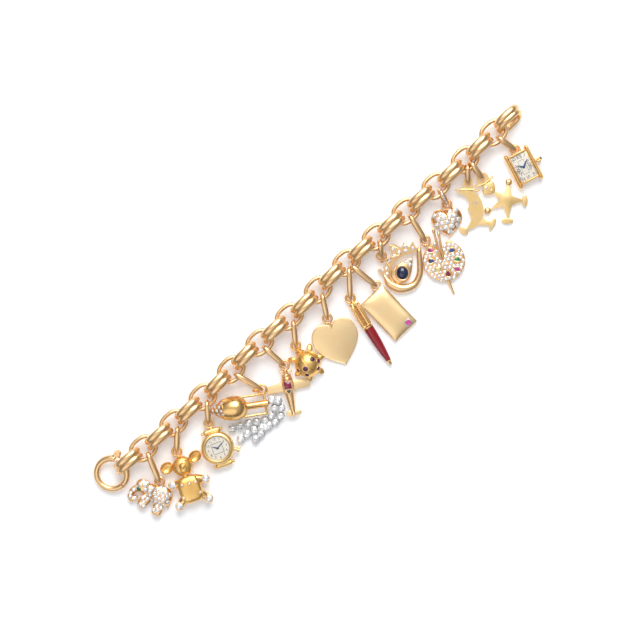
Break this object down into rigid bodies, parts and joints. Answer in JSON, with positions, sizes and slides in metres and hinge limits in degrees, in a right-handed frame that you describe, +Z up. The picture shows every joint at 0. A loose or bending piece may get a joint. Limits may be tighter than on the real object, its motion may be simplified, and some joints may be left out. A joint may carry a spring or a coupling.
{
  "type": "charm bracelet",
  "caption": "Open gold charm bracelet lying straight: oval double and single links, a hinged ring clasp and small charms on wire bails along one side.",
  "frame": {"origin": "on the surface it lies on, under the middle of the whole box", "axes": "+X along the chain from the clasp to the end link, +Y away from the charms, +Z up"},
  "size_m": [0.1868, 0.0412, 0.0083],
  "materials": {
    "gold": "polished yellow gold with a warm tone",
    "pale_gold": "satin pale yellow gold",
    "deep_gold": "brushed and polished deep yellow gold",
    "pave": "gold set all over with small white stones",
    "white_metal": "polished white gold settings",
    "diamond": "clear brilliants",
    "dial": "cream dial with plain dark numerals",
    "dark_print": "dark numerals, tracks and eyes",
    "blue_steel": "blued watch hands",
    "red_enamel": "deep red glossy enamel",
    "ruby": "faceted red stones",
    "sapphire": "blue stones, cabochon and pear cut",
    "emerald": "green stones",
    "pink_stone": "pink stones",
    "yellow_stone": "yellow stone"
  },
  "bodies": {
    "root": {"double_link_01": "gold", "double_link_02": "gold", "double_link_03": "gold", "double_link_04": "gold", "double_link_05": "gold", "double_link_06": "gold", "double_link_07": "gold", "double_link_08": "gold", "double_link_09": "gold", "double_link_10": "gold", "double_link_11": "gold", "double_link_12": "gold", "double_link_13": "gold", "double_link_14": "gold", "single_link_01": "gold", "single_link_02": "gold", "single_link_03": "gold", "single_link_04": "gold", "single_link_05": "gold", "single_link_06": "gold", "single_link_07": "gold", "single_link_08": "gold", "single_link_09": "gold", "single_link_10": "gold", "single_link_11": "gold", "single_link_12": "gold", "single_link_13": "gold", "clasp_arc": "gold", "elephant": "pave", "elephant_bail": "gold", "bear": "deep_gold", "bear_bail": "gold", "round_watch": "deep_gold", "round_watch_bail": "gold", "rocket": "deep_gold", "rocket_bail": "gold", "plane": "gold", "plane_bail": "gold", "ladybug": "deep_gold", "ladybug_bail": "gold", "plain_heart": "pale_gold", "plain_heart_bail": "gold", "pen_cap": "gold", "pen_bail": "gold", "pen_barrel": "red_enamel", "envelope": "pale_gold", "envelope_bail": "gold", "eye": "gold", "eye_bail": "gold", "palette": "pave", "palette_bail": "gold", "pave_heart": "pave", "pave_heart_bail": "gold", "moon_man": "pale_gold", "moon_man_bail": "gold", "star_man": "pale_gold", "star_man_bail": "gold", "square_watch": "gold", "square_watch_bail": "gold"},
    "clasp_jaw": {"clasp_jaw": "gold"}
  },
  "joints": [
    {"name": "clasp_hinge", "type": "hinge", "parent": "root", "child": "clasp_jaw", "pos_m": [-0.08156, 0.01811, 0.00396], "axis": [0.2588, 0, -0.9659], "range_deg": [0, 55]}
  ]
}
